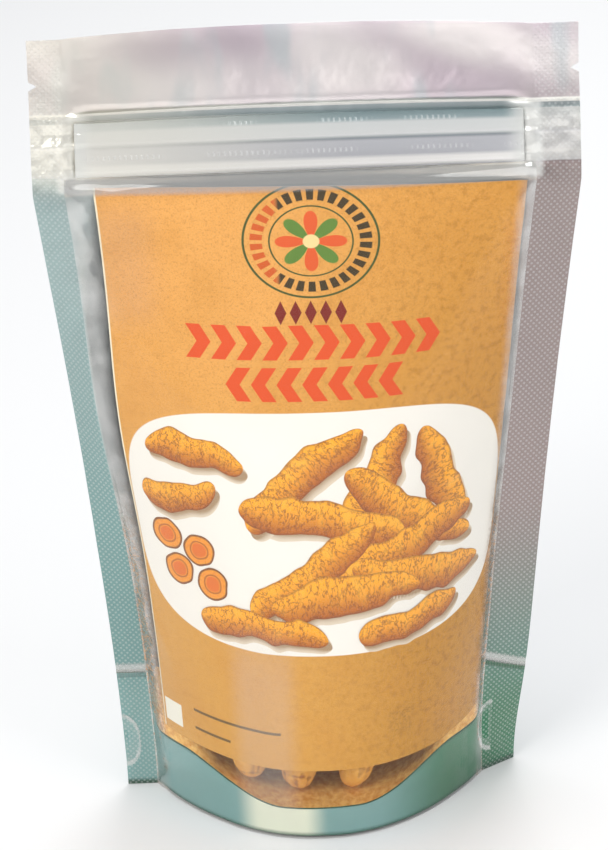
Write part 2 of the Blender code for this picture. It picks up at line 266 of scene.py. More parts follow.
def swell(t):
    """How far each panel stands out from the middle surface at height t."""
    rise = np.clip((t - FOOT_UPRIGHT) / (CLOSING - FOOT_UPRIGHT), 0.0, 1.0)
    return FOOT_DEPTH * (1.0 - rise**2) ** 0.75


def crowd(v, t):
    """Where a flat share v, -1 to 1, comes to lie across the pouch: closer to the seals where it swells."""
    return v * (1.0 + CROWDING * (swell(t) / FOOT_DEPTH) ** 2 * (1.0 - v**2))


def middle(u, t):
    """The surface half-way between the two panels: x, y, z, v and steep, as in the solids.

    v runs from -1 to 1 between the seals, and steep is how much longer a turned seal's thickness
    is when it is measured along y.
    """
    bump = bell(t, TURN_HEIGHT, TURN_SPREAD)
    turn_left = LEFT_SEAL_TURN * bump
    foot = bell(t, 0.0, FOOT_TURN_SPREAD)
    turn_right = RIGHT_SEAL_TURN * bump + FOOT_TURN * foot
    half = half_width(t)
    x_left = -half + SEAL_LEFT * np.cos(turn_left)
    x_right = half - SEAL_RIGHT * (np.cos(turn_right) + (1.0 - math.cos(FOOT_TURN)) * foot)
    y_left = -SEAL_LEFT * np.sin(turn_left)
    y_right = -SEAL_RIGHT * (np.sin(turn_right) - math.sin(FOOT_TURN) * foot)
    share = np.clip((u - U_LEFT) / (U_RIGHT - U_LEFT), 0.0, 1.0)
    out_left = np.clip(U_LEFT - u, 0.0, SEAL_LEFT)
    out_right = np.clip(u - U_RIGHT, 0.0, SEAL_RIGHT)
    v = crowd(2.0 * share - 1.0, t)
    share = (v + 1.0) / 2.0
    x = x_left + (x_right - x_left) * share
    x = x - out_left * np.cos(turn_left) + out_right * np.cos(turn_right)
    y = y_left + (y_right - y_left) * share
    y = y + out_left * np.sin(turn_left) + out_right * np.sin(turn_right)
    bow = HEADER_BOW * (1.0 - v**2) * smooth((t - CLOSING) / (HEIGHT - CLOSING))
    y = y + bow + np.interp(t, PATH_T, PATH_Y)
    z = np.interp(t, PATH_T, PATH_Z) + 0.0 * u
    steep = 1.0 / np.cos(turn_left * (u <= U_LEFT) + turn_right * (u >= U_RIGHT))
    return x, y, z, v, steep


def zip_band(t):
    """1 at the zip's heights, where both films stand apart round it, easing to 0 below and above."""
    return smooth((t - CLOSING + 3.0) / 3.0) * (1.0 - smooth((t - ZIP_HIGH - 1.0) / 4.0))


def zip_square(v):
    """1 along the zip, with a nearly square step down to 0 at the side seals, as in the solids."""
    return smooth((1.0 - np.abs(v)) / ZIP_SQUARE)


def spread(u, t):
    """Distance in y from the middle surface to the middle of either film of the solids."""
    v, steep = middle(u, t)[3:]
    lens = swell(t) * (1.0 - np.abs(v) ** FULLNESS)
    zipped = (ZIP_OFFSET - SEAL_OFFSET) * zip_band(t) * zip_square(v)
    mouth = MOUTH * (1.0 - v**2) * smooth((t - ZIP_HIGH - 2.0) / (HEIGHT - ZIP_HIGH - 2.0))
    return SEAL_OFFSET * steep + lens + zipped + mouth


def panel(u, t, side, inset=0.0):
    """A point of the front (side -1) or back (side 1) film of the solids, moved inwards by inset."""
    x, y, z = middle(u, t)[:3]
    step = 0.5
    slope_x = (spread(u + step, t) - spread(u - step, t)) / (2.0 * step)
    slope_z = (spread(u, t + step) - spread(u, t - step)) / (2.0 * step)
    along_y = inset * np.sqrt(1.0 + slope_x**2 + slope_z**2)
    return np.stack([x, y + side * (spread(u, t) - along_y), z], axis=-1)


# The solids' pouch is centred on its box: how far along y that takes it from the formula's
FOOT_PATCH = np.meshgrid(np.linspace(-60.0, 60.0, 61), np.linspace(0.0, 60.0, 61))
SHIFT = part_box("film_front")[0].y / MM - panel(*FOOT_PATCH, -1.0, -FILM / 2)[..., 1].min()


def band_top(v):
    """Height of the bottom seal's upper edge, the U-shaped curve where the gusset leaves the panel."""
    v = np.abs(v)
    return BAND_MIDDLE + BAND_RISE * smooth((v - BAND_FLAT) / BAND_RUN) + (
        GUSSET - BAND_MIDDLE - BAND_RISE
    ) * v**BAND_CORNER


def across(u):
    """The flat share, -1 to 1, of column u between the side seals."""
    return 2.0 * (u - U_LEFT) / (U_RIGHT - U_LEFT) - 1.0


def column(v):
    """The flat column u at a share v, -1 to 1, of the way between the side seals."""
    return U_LEFT + (U_RIGHT - U_LEFT) * (v + 1.0) / 2.0


def noise(points, size, seed):
    """Smooth random values, -1 to 1: lattice values of cells of this size, eased between neighbours."""
    place = np.asarray(points, float) / size
    cell = np.floor(place)
    part = place - cell
    ease = part * part * (3.0 - 2.0 * part)
    total = 0.0
    for corner in itertools.product((0.0, 1.0), repeat=place.shape[-1]):
        corner = np.array(corner)
        weight = np.prod(np.where(corner > 0.5, ease, 1.0 - ease), axis=-1)
        mixed = ((cell + corner) * np.array([127.1, 311.7, 74.7])[: place.shape[-1]]).sum(axis=-1)
        value = np.sin(mixed + seed * 53.9) * 43758.5453
        total = total + weight * (value - np.floor(value))
    return 2.0 * total - 1.0


def ridge(u, t, start, end, width, height):
    """A rounded crease along a straight line of the flat film: a bell across it, lower at its ends."""
    way_u = end[0] - start[0]
    way_t = end[1] - start[1]
    share = ((u - start[0]) * way_u + (t - start[1]) * way_t) / (way_u**2 + way_t**2)
    share = np.clip(share, 0.0, 1.0)
    away = np.hypot(u - start[0] - share * way_u, t - start[1] - share * way_t)
    return height * bell(away, 0.0, width) * (0.35 + 0.65 * np.sin(math.pi * share))


def weld(u):
    """1 in the side seals, falling to 0 a little way inside them."""
    return 1.0 - smooth(np.minimum(u - U_LEFT, U_RIGHT - u) / WELD_RUN)


def waves(u, t):
    """Movement along y that both films share: slow waves of the header and seals, crushed zip ends."""
    flat = np.stack([u, t], axis=-1)
    header = smooth((t - ZIP_HIGH) / 10.0)
    side = weld(u)
    slant = np.stack([u + 0.9 * t, t - 0.4 * u], axis=-1)
    slow = 0.8 * noise(flat, (31.0, 24.0), 1) + 0.22 * noise(slant, (9.0, 34.0), 2)
    ripple = 0.45 * noise(flat, (14.0, 27.0), 3) + 0.12 * noise(flat, (4.0, 9.0), 4)
    ends = bell(t, ZIP_TRACK, 9.0) * side
    crushed = 0.42 * noise(flat, (2.6, 3.4), 5) + 0.2 * noise(flat, (1.3, 1.9), 6)
    rest = smooth(t / 12.0)
    return header * slow + rest * side * (1.0 - header) * ripple + ends * crushed


def zip_relief(t):
    """How far the zip's rails press the film outwards at height t."""
    upper = 0.34 * bell(t, 208.8, 0.55)
    marks = 0.10 * bell(t, 205.3, 0.45)
    rails = 0.30 * smooth((t - 200.9) / 0.6) * (1.0 - smooth((t - 204.2) / 0.6))
    seam = -0.22 * bell(t, 200.4, 0.45)
    lower = 0.26 * bell(t, 194.4, 0.7)
    fold = -0.20 * bell(t, 192.0, 0.6)
    return upper + marks + rails + seam + lower + fold


def dimples(u, t, side):
    """How far one film stands out from its smooth form: crimps by the seals, soft dents and creases."""
    flat = np.stack([u, t], axis=-1)
    inside = np.minimum(u - U_LEFT, U_RIGHT - u)
    below = smooth((CLOSING - t) / 10.0)
    small = 0.55 * noise(flat, (3.6, 5.0), 11 + side)
    crimps = bell(inside, 0.0, 5.5) * (small + 0.4 * noise(flat, (7.0, 15.0), 13 + side))
    belly = 0.22 * noise(flat, (27.0, 31.0), 15 + side) + 0.08 * noise(flat, (11.0, 14.0), 17 + side)
    low = 0.16 * bell(t, 0.0, 34.0) * noise(flat, (6.0, 7.0), 19 + side)
    total = below * (crimps + belly) + low
    if side < 0:
        for crease in CREASES:
            total = total + ridge(u, t, *crease)
        total = total - bell(u, 34.0, 4.0) * bell(t, 104.0, 3.0)
    return total


def fold_height(u):
    """Height of the gusset's fold: lower towards the right edge, where the seal pulls it down."""
    return GUSSET - FOLD_SINK - FOLD_DROP * np.maximum(u - U_RIGHT, 0.0)


def spot_radius(u, t, centre):
    """Distance from the middle of a half-round spot, 1 on its edge."""
    return np.hypot((u - centre) / SPOT_WIDE, (t - SPOT_HEIGHT) / SPOT_HIGH)


def spot_seals(u, t):
    """1 in the half-round spots where a hole in the gusset lets front and back film meet."""
    left = 1.0 - smooth((spot_radius(u, t, SPOT_LEFT) - 0.92) / 0.16)
    right = 1.0 - smooth((spot_radius(u, t, SPOT_RIGHT) - 0.92) / 0.16)
    return np.maximum(left, right * (1.0 - smooth((u - SPOT_RIGHT) / 0.6)))


def spot_rims(u, t):
    """1 along the curved rim of each half-round spot."""
    left = bell(spot_radius(u, t, SPOT_LEFT), RIM_RADIUS, RIM_WIDTH)
    right = bell(spot_radius(u, t, SPOT_RIGHT), RIM_RADIUS, RIM_WIDTH)
    return left + right * (u < SPOT_RIGHT)


def step_down(u, t):
    """The folded gusset's thickness in the side seals, up to its fold, and the spots' raised rims."""
    held = np.maximum(weld(u) - spot_seals(u, t), 0.0)
    folded = held * (1.0 - smooth((t - fold_height(u)) / 1.6))
    return SEAL_STEP * folded + RIM_HEIGHT * spot_rims(u, t)


def zip_fade(v):
    """1 where the zip stands open behind the film, easing to 0 at its ends, crushed in the seals."""
    return smooth((1.0 - np.abs(v)) / ZIP_FADE)


def skin(u, t, side, depth):
    """A point of one panel's film, depth below its outer face, with its waves and creases.

    It is the solids' panel, drawn together in the seals until both films touch, plus waves that
    both films share and dimples of its own, and it stays inside the solids' box.
    """
    points = panel(u, t, side, depth - FILM / 2)
    held = weld(u)
    v, steep = middle(u, t)[3:]
    points[..., 1] -= side * held * (SEAL_OFFSET * steep + FILM / 2 - WELD_HALF)
    own = (1.0 - held) * dimples(u, t, side) + (1.0 - 0.5 * held) * zip_relief(t) + step_down(u, t)
    own = own - (ZIP_OFFSET - SEAL_OFFSET) * zip_band(t) * (zip_square(v) - zip_fade(v))
    points[..., 1] += waves(u, t) + side * own + SHIFT
    points[..., 1] = np.clip(points[..., 1], BOX_FRONT + depth, BOX_BACK - depth)
    return points


def card_at(u, t, height):
    """A point of the card, height above its printed face, moving with the film in front of it."""
    points = panel(u, t, -1.0, CARD_FACE - height)
    own = (1.0 - weld(u)) * dimples(u, t, -1.0)
    points[..., 1] += waves(u, t) - own + SHIFT
    return points


def normals(points):
    """Unit normals of a grid of points: the cross product of its two directions."""
    rows = np.gradient(points, axis=0)
    columns = np.gradient(points, axis=1)
    cross = np.cross(columns, rows)
    return cross / np.maximum(np.linalg.norm(cross, axis=-1, keepdims=True), 1e-12)


def new_piece(name, points, faces, flat, finish, sharp=50.0):
    """A closed mesh from points in millimetres and faces, turned outwards, with its flat places."""
    points = np.asarray(points, float)
    mesh = bpy.data.meshes.new(name)
    triangles = np.array([(f[0], f[k], f[k + 1]) for f in faces for k in range(1, len(f) - 1)])
    a, b, c = (points[triangles[:, k]] for k in range(3))
    volume = np.einsum("ij,ij->i", a, np.cross(b, c)).sum()
    if volume < 0.0:
        faces = [face[::-1] for face in faces]
    mesh.from_pydata((points * MM).tolist(), [], faces)
    mesh.shade_smooth()
    mesh.set_sharp_from_angle(angle=math.radians(sharp))
    attribute = mesh.attributes.new("flat", "FLOAT_VECTOR", "POINT")
    attribute.data.foreach_set("vector", np.asarray(flat, np.float32).ravel())
    mesh.materials.append(finish)
    piece = bpy.data.objects.new(name, mesh)
    bpy.context.scene.collection.objects.link(piece)
    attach(piece, "root")
    return piece


def wall_faces(rows, columns):
    """Faces of a thin wall: an outer grid, an inner grid after it, and the rim between them."""
    index = np.arange(rows * columns).reshape(rows, columns)
    quads = np.stack([index[:-1, :-1], index[:-1, 1:], index[1:, 1:], index[1:, :-1]], axis=-1)
    quads = quads.reshape(-1, 4)
    count = rows * columns
    loop = np.concatenate([index[0, :-1], index[:-1, -1], index[-1, :0:-1], index[:0:-1, 0]])
    ahead = np.roll(loop, -1)
    rim = np.stack([ahead, loop, loop + count, ahead + count], axis=-1)
    return np.concatenate([quads, quads[:, ::-1] + count, rim]).tolist()


def wall(name, outer, inner, flat, finish):
    """A thin closed wall between two grids of points; the third flat number is 1 on the inner one."""
    rows, columns = outer.shape[:2]
    points = np.concatenate([outer.reshape(-1, 3), inner.reshape(-1, 3)])
    flats = np.concatenate([flat.reshape(-1, 3), flat.reshape(-1, 3)])
    flats[:, 2] = np.repeat([0.0, 1.0], rows * columns)
    return new_piece(name, points, wall_faces(rows, columns), flats, finish)


def tube(name, rings, flat, finish, sharp):
    """A closed body from rings of points, with the rings' ends drawn to a point."""
    count, around = rings.shape[:2]
    index = np.arange(count * around).reshape(count, around)
    beside = np.roll(index, -1, axis=1)
    quads = np.stack([index[:-1], beside[:-1], beside[1:], index[1:]], axis=-1).reshape(-1, 4)
    first = count * around
    caps = [(first, b, a) for a, b in zip(index[0], beside[0])]
    caps += [(first + 1, a, b) for a, b in zip(index[-1], beside[-1])]
    points = np.concatenate([rings.reshape(-1, 3), rings[0].mean(0)[None], rings[-1].mean(0)[None]])
    flat = np.concatenate([flat.reshape(-1, 3), flat[0].mean(0)[None], flat[-1].mean(0)[None]])
    faces = quads.tolist() + [tuple(int(k) for k in cap) for cap in caps]
    return new_piece(name, points, faces, flat, finish, sharp)


class Finish:
    """A material whose nodes come from one method, and whose maths is written as Python expressions."""

    def __init__(self, name):
        self.material = bpy.data.materials.new(name)
        self.material.use_nodes = True
        self.tree = self.material.node_tree
        self.tree.nodes.clear()
        self.output = self.add("ShaderNodeOutputMaterial")

    def add(self, kind, sockets=(), stops=None, **settings):
        """A node of this type: settings first, then a ramp's stops, then its sockets' values or links."""
        node = self.tree.nodes.new(kind)
        for key, value in settings.items():
            setattr(node, key, value)
        if stops:
            ramp = node.color_ramp
            ramp.elements[0].position, ramp.elements[0].color = stops[0]
            ramp.elements[-1].position, ramp.elements[-1].color = stops[-1]
            for place, colour in stops[1:-1]:
                ramp.elements.new(place).color = colour
        for key, value in dict(sockets).items():
            socket = node.inputs[key]
            if isinstance(value, Field):
                self.tree.links.new(value.socket, socket)
            else:
                socket.default_value = value
        return node

    def field(self, node, output=0):
        """One output of a node, as a value for expressions."""
        return Field(self, node.outputs[output])

    def flat(self):
        """The three numbers of the piece's own flat places."""
        place = self.add("ShaderNodeAttribute", attribute_name="flat")
        parts = self.add("ShaderNodeSeparateXYZ", {0: self.field(place, "Vector")})
        return [self.field(parts, k) for k in range(3)]

    def vector(self, x, y, z=0.0):
        """Three numbers as one vector."""
        return self.field(self.add("ShaderNodeCombineXYZ", {0: x, 1: y, 2: z}))

    def grain(self, vector, scale, detail=2.0, rough=0.5):
        """Noise from 0 to 1 over a vector."""
        sockets = {"Vector": vector, "Scale": scale, "Detail": detail, "Roughness": rough}
        return self.field(self.add("ShaderNodeTexNoise", sockets))

    def cells(self, vector, scale):
        """Distance to the nearest of many scattered points."""
        sockets = {"Vector": vector, "Scale": scale}
        return self.field(self.add("ShaderNodeTexVoronoi", sockets), "Distance")

    def mix(self, factor, first, second):
        """A colour between two colours."""
        sockets = {0: factor, 6: first, 7: second}
        node = self.add("ShaderNodeMix", sockets, data_type="RGBA", clamp_factor=True)
        return self.field(node, 2)

    def object_place(self):
        """The point on the piece, in metres."""
        return self.field(self.add("ShaderNodeTexCoord"), "Object")

    def bump(self, height, distance):
        """A normal bent by a height, where 1 stands for this distance in metres."""
        sockets = {"Height": height, "Distance": distance, "Strength": 1.0}
        return self.field(self.add("ShaderNodeBump", sockets))

    def principled(self, **sockets):
        """The main shader; names are its sockets' names with _ for a space."""
        named = {key.replace("_", " "): value for key, value in sockets.items()}
        return self.field(self.add("ShaderNodeBsdfPrincipled", named))

    def done(self, shader):
        """Send this shader to the surface, and return the material."""
        self.tree.links.new(shader.socket, self.output.inputs["Surface"])
        return self.material


class Field:
    """A node's output that Python arithmetic extends with Math nodes."""

    def __init__(self, finish, socket):
        self.finish = finish
        self.socket = socket

    def math(self, operation, *others):
        """A Math node on this value and others."""
        sockets = dict(enumerate((self, *others)))
        return self.finish.field(self.finish.add("ShaderNodeMath", sockets, operation=operation))

    def __add__(self, other):
        return self.math("ADD", other)

    __radd__ = __add__

    def __mul__(self, other):
        return self.math("MULTIPLY", other)

    __rmul__ = __mul__

    def __sub__(self, other):
        return self.math("SUBTRACT", other)

    def __rsub__(self, other):
        return self.math("MULTIPLY_ADD", -1.0, other)

    def __truediv__(self, other):
        return self.math("DIVIDE", other)

    def __pow__(self, other):
        return self.math("POWER", other)

    def __abs__(self):
        return self.math("ABSOLUTE")

    def step(self, low, high):
        """Ease from 0 to 1 as this value goes from low to high."""
        sockets = {"Value": self, "From Min": low, "From Max": high}
        node = self.finish.add("ShaderNodeMapRange", sockets, interpolation_type="SMOOTHSTEP")
        return self.finish.field(node)

    def between(self, low, high, edge):
        """1 from low to high, easing to 0 over edge outside them."""
        return self.step(low - edge, low) * (1.0 - self.step(high, high + edge))


def tone(red, green, blue):
    """A screen colour, 0 to 255, as the linear colour that shaders use."""
    parts = np.array([red, green, blue]) / 255.0
    linear = np.where(parts <= 0.04045, parts / 12.92, ((parts + 0.055) / 1.055) ** 2.4)
    return (*linear.tolist(), 1.0)


def knurl(u, t):
    """Height of the heat seals' fine pressed dots: 1 on a dot, 0 between them and off the seals."""
    turn = 2.0 * math.pi / KNURL
    dots = ((u * turn).math("SINE") * (t * turn).math("SINE")).step(0.0, 0.8)
    return dots * (1.0 - u.between(U_LEFT, U_RIGHT, 0.4))


def spot_marks(u, t):
    """1 along the rims of the two half-round spot seals, and 1 inside them."""
    rise = (t - SPOT_HEIGHT) / SPOT_HIGH
    rims = 0.0
    spots = 0.0
    for centre, limit, edge in ((SPOT_LEFT, SPOT_LEFT + SPOT_WIDE, 0.2), (SPOT_RIGHT, SPOT_RIGHT, 0.4)):
        run = (u - centre) / SPOT_WIDE
        radius = (run * run + rise * rise).math("SQRT")
        here = 1.0 - u.step(limit, limit + edge)
        rims = radius.between(0.97, 1.07, 0.07) * here + rims
        spots = (1.0 - radius.step(0.9, 1.0)) * here + spots
    return rims, spots


def painted_silver_reflections(f, u, t, drift):
    """Painted reflections on the silver: mauve header, teal and grey seals, green foot, one painted glare
    patch low on the foot and painted shade along its edge.
    """
    # Painted reflections: mauve and white clouds over the header, teal and grey drift below it.
    cloud = f.grain(f.vector(u * 0.7 + t * 0.5, t * 1.2), 0.036, 0.5)
    pink = f.mix(cloud.step(0.38, 0.62), tone(218, 202, 212), tone(255, 246, 246))
    pink = f.mix(drift.step(0.52, 0.72) * 0.7, pink, tone(208, 216, 220))
    body = f.mix(drift.step(0.35, 0.65), tone(152, 172, 174), tone(192, 198, 196))
    colour = f.mix(t.step(203.0, 211.0), body, pink)
    # Painted reflections: teal down the left seal, grey-mauve down the right one.
    left = (1.0 - u.step(-66.5, -60.0)) * (1.0 - t.step(176.0, 206.0))
    colour = f.mix(left, colour, f.mix(t.step(60.0, 175.0), tone(118, 160, 158), tone(158, 182, 182)))
    right = u.step(54.0, 63.0) * (1.0 - t.step(196.0, 220.0))
    grey = f.mix(t.step(30.0, 95.0), tone(104, 142, 132), tone(156, 140, 138))
    colour = f.mix(right, colour, grey)
    # Painted reflections: pale teal to green along the foot.
    low = 1.0 - t.step(16.0, 46.0)
    green = f.mix(u.step(14.0, 46.0), tone(138, 178, 176), tone(74, 130, 100))
    # Painted glare: a pale patch low on the foot, left of the middle.
    green = f.mix(u.between(-22.0, -8.0, 9.0) * 0.9, green, tone(250, 252, 230))
    colour = f.mix(low, colour, green)
    # Painted shade: dark green along the foot's very edge.
    return f.mix(1.0 - t.step(0.6, 2.6), colour, tone(48, 92, 72))


def silver_lines(f, u, t, colour):
    """Painted highlight and shade lines at the zip, painted light just under it, painted glare at its ends
    and a warm painted glare at the upper left, laid over the painted reflections.
    """
    # Painted highlight and shade bands over the zip itself.
    colour = f.mix(t.between(ZIP_LOW, ZIP_HIGH, 0.4) * 0.7, colour, zip_bands(f, u, t))
    # Painted shade: a dark teal band just above the zip.
    colour = f.mix(t.between(207.0, 208.2, 0.3) * 0.7, colour, tone(140, 160, 164))
    # Painted highlight: a bright line along the film's fold above the zip.
    colour = f.mix(t.between(208.5, 209.4, 0.3), colour, tone(255, 252, 246))
    # Painted light: a pale warm band just under the zip, over the shade there.
    under = t.between(187.5, 191.5, 1.0) * u.between(U_LEFT, U_RIGHT, 0.5)
    colour = f.mix(under * 0.7, colour, tone(244, 230, 212))
    # Painted glare at both ends of the zip.
    near_ends = 1.0 - u.between(U_LEFT + 9.0, U_RIGHT - 9.0, 5.0)
    ends = near_ends * u.between(U_LEFT - 1.0, U_RIGHT + 1.0, 2.0) * t.between(189.0, 208.0, 2.0)
    colour = f.mix(ends * 0.7, colour, tone(255, 255, 252))
    # Painted glare: warm white at the upper left, round the zip's left end.
    painted_glare = (1.0 - u.step(-70.0, -12.0)) * t.step(184.0, 196.0) * 0.6
    return f.mix(painted_glare, colour, tone(255, 248, 232))


def silver_finish():
    """Metallised film: satin silver with painted reflections drifting between mauve, teal and green,
    knurled in its seals, with painted glints on the knurl dots.
    """
    f = Finish("silver film")
    u, t, behind = f.flat()
    drift = f.grain(f.vector(u * 1.6, t * 0.6), 0.05, 2.0)
    colour = silver_lines(f, u, t, painted_silver_reflections(f, u, t, drift))
    dots = knurl(u, t)
    # Painted glints: the knurl dots made lighter in colour.
    colour = f.mix(dots * 0.28, colour, tone(240, 240, 240))
    soft = f.grain(f.vector(u, t), 0.14, 2.0)
    dusty, dull = dust(f, u, t, behind)
    colour = f.mix(dusty, colour, dull)
    shader = f.principled(
        Base_Color=colour,
        Metallic=0.85 * (1.0 - dusty),
        Roughness=drift * 0.1 + 0.29 + dusty * 0.4,
        Normal=f.bump(dots * 0.12 + soft, 0.0003),
    )
    return f.done(shader)


def dust(finish, u, t, behind):
    """Where turmeric dust clings, 0 to 1, and its colour: thick on the gusset, thin on the back."""
    grains = finish.grain(finish.vector(u, t), 0.5, 4.0, 0.65)
    gusset = 1.0 - t.step(DUST_MARK + 1.0, DUST_MARK + 2.0)
    film = t.between(0.0, 60.0, 60.0) * 0.5
    share = (1.0 - behind) * gusset * 0.92 + behind * (1.0 - gusset) * film * grains.step(0.3, 0.7)
    share = share * u.between(U_LEFT + 4.0, U_RIGHT - 4.0, 3.0)
    return share, finish.mix(grains.step(0.3, 0.7), tone(226, 152, 50), tone(255, 206, 112))


def clear_finish():
    """Clear film: see-through, glossier towards grazing angles, hazy in its seals and crimps, with more
    gloss as painted light just under the zip, as two painted glare streaks and as a painted highlight along
    the gusset's fold.
    """
    f = Finish("clear film")
    u, t, behind = f.flat()
    soft = f.grain(f.vector(u, t), 0.10, 2.0)
    normal = f.bump(knurl(u, t) * 0.12 + soft, 0.0003)
    gloss = f.principled(
        Base_Color=tone(250, 250, 248), Metallic=0.8, Roughness=0.08, Normal=normal
    )
    facing = f.field(f.add("ShaderNodeLayerWeight", {"Blend": 0.5, "Normal": normal}), "Facing")
    seals = 1.0 - u.between(U_LEFT, U_RIGHT, 0.4)
    crimped = 1.0 - u.between(U_LEFT + 9.0, U_RIGHT - 6.0, 6.0)
    clouds = f.grain(f.vector(u, t), 0.16, 3.0).step(0.35, 0.75)
    # Painted light: more gloss just under the zip, over the shade inside there.
    shoulder = t.between(188.5, 191.5, 1.5) * (1.0 - seals)
    # Painted glare streaks: more gloss in a patch low left of the middle and one high on the left.
    glare_streaks = u.between(-24.0, -14.0, 8.0) * t.between(14.0, 50.0, 22.0) * 0.07
    glare_streaks = glare_streaks + t.between(160.0, 178.0, 12.0) * u.between(-60.0, -50.0, 12.0) * 0.05
    veil = crimped * (clouds * 0.16 + 0.2) * (1.0 - seals) * (1.0 - t.step(186.0, 192.0) * 0.8)
    rims, spots = spot_marks(u, t)
    # Painted highlight: more gloss along the gusset's fold line in the seals.
    fold = t + (u - U_RIGHT).math("MAXIMUM", 0.0) * FOLD_DROP
    fold = fold.between(39.0, 40.2, 1.3) * seals * 0.3
    haze = seals * 0.01 + veil + shoulder * 0.34 + glare_streaks + fold + rims * 0.3 + spots * 0.1
    clear = f.field(f.add("ShaderNodeBsdfTransparent", {"Color": (0.995, 0.995, 0.99, 1.0)}))
    glossy = facing**5.0 * 0.9 + haze + 0.022
    mixed = f.field(f.add("ShaderNodeMixShader", {0: glossy, 1: clear, 2: gloss}))
    low = t.between(24.0, 70.0, 40.0) * (1.0 - seals)
    grains = f.grain(f.vector(u, t), 0.8, 4.0, 0.65).step(0.42, 0.62)
    dull = f.principled(Base_Color=tone(206, 146, 66), Roughness=0.8)
    dusted = crimped * low * grains * behind * 0.75
    return f.done(f.field(f.add("ShaderNodeMixShader", {0: dusted, 1: mixed, 2: dull})))


def zip_bands(finish, u, t):
    """Level lines of painted highlight and shade along the zip, warm and pale towards the left with painted
    glare, and painted pale glare at both ends.
    """
    bands = finish.add(
        "ShaderNodeValToRGB",
        {0: (t - ZIP_LOW) / (ZIP_HIGH - ZIP_LOW)},
        stops=[
            (0.0, tone(160, 160, 164)),
            (0.08, tone(255, 252, 250)),
            (0.17, tone(255, 252, 250)),
            (0.24, tone(202, 202, 208)),
            (0.50, tone(214, 214, 220)),
            (0.55, tone(156, 164, 170)),
            (0.61, tone(246, 246, 246)),
            (0.82, tone(240, 242, 242)),
            (0.88, tone(172, 190, 194)),
            (1.0, tone(142, 164, 168)),
        ],
    )
    # Painted warm glare towards the left.
    warm = (1.0 - u.step(-58.0, 20.0)) * 0.75
    colour = finish.mix(warm, finish.field(bands), tone(252, 248, 238))
    # Painted pale glare at both ends of the zip.
    ends = 1.0 - u.between(U_LEFT + 9.0, U_RIGHT - 9.0, 6.0)
    return finish.mix(ends * 0.8, colour, tone(255, 255, 252))


def zip_finish():
    """Zip plastic over silver: level lines of light and shade, with rows of small welds."""
    f = Finish("zip plastic")
    u, t, _ = f.flat()
    rows = t.between(205.0, 205.6, 0.3) + t.between(197.2, 197.9, 0.3)
    marks = (u * (2.0 * math.pi / ZIP_WELD_PITCH)).math("SINE").step(0.2, 0.9) * rows
    marks = marks * f.grain(f.vector(u, t), 0.07, 1.0).step(0.4, 0.6)
    colour = f.mix(marks * 0.4, zip_bands(f, u, t), tone(255, 255, 255))
    gloss = f.principled(
        Base_Color=colour, Metallic=0.6, Roughness=0.25, Normal=f.bump(marks, 0.0001)
    )
    clear = f.field(f.add("ShaderNodeBsdfTransparent", {"Color": (0.94, 0.96, 0.96, 1.0)}))
    return f.done(f.field(f.add("ShaderNodeMixShader", {0: 0.9, 1: clear, 2: gloss})))


def root_finish(name, skin_tone, dark, bloom):
    """Dried turmeric skin: ochre, darker in its wrinkles, with a powdery bloom on the ridges."""
    f = Finish(name)
    relief = f.flat()[2]
    place = f.object_place()
    mottle = f.grain(place, 260.0, 4.0, 0.6)
    colour = f.mix(relief.step(-0.5, 0.25), dark, skin_tone)
    colour = f.mix(mottle.step(0.35, 0.7) * 0.55, colour, bloom)
    fibres = f.grain(place, 1500.0, 2.0)
    height = mottle * 0.6 + fibres * 0.4
    return f.done(f.principled(Base_Color=colour, Roughness=0.78, Normal=f.bump(height, 0.0004)))


def chevrons(x, y, start, end, half, count, way):
    """1 on repeated arrow marks from start to end along x, within half of the band's middle line."""
    place = (x + abs(y) * way - start) / ((end - start) / count)
    marks = place.math("FRACT").between(0.14, 0.66, 0.04) * place.between(0.0, count, 0.02)
    return marks * (1.0 - abs(y).step(half - 0.2, half))


def card_ground(f, flat, u, y):
    """The card's printed ground: ochre, browner to the lower right, blotted and speckled."""
    warm = f.mix(y.step(30.0, 170.0), tone(216, 160, 74), tone(232, 168, 88))
    shade = u.step(-20.0, 50.0) * (1.0 - y.step(60.0, 230.0) * 0.6)
    colour = f.mix(shade * 0.9, warm, tone(194, 134, 22))
    patches = f.grain(flat, 0.05, 3.0).step(0.4, 0.7) * 0.3
    colour = f.mix(patches, colour, tone(204, 140, 48))
    blots = f.grain(flat, 0.45, 4.0, 0.75).step(0.46, 0.66) * (shade * 0.5 + 0.12)
    colour = f.mix(blots, colour, tone(160, 102, 20))
    speckle = f.grain(flat, 1.7, 3.0, 0.7).step(0.50, 0.68) * 0.42
    colour = f.mix(speckle, colour, tone(168, 108, 36))
    pale = f.grain(flat, 1.2, 3.0, 0.7).step(0.56, 0.72) * 0.3
    return f.mix(pale, colour, tone(240, 190, 120))


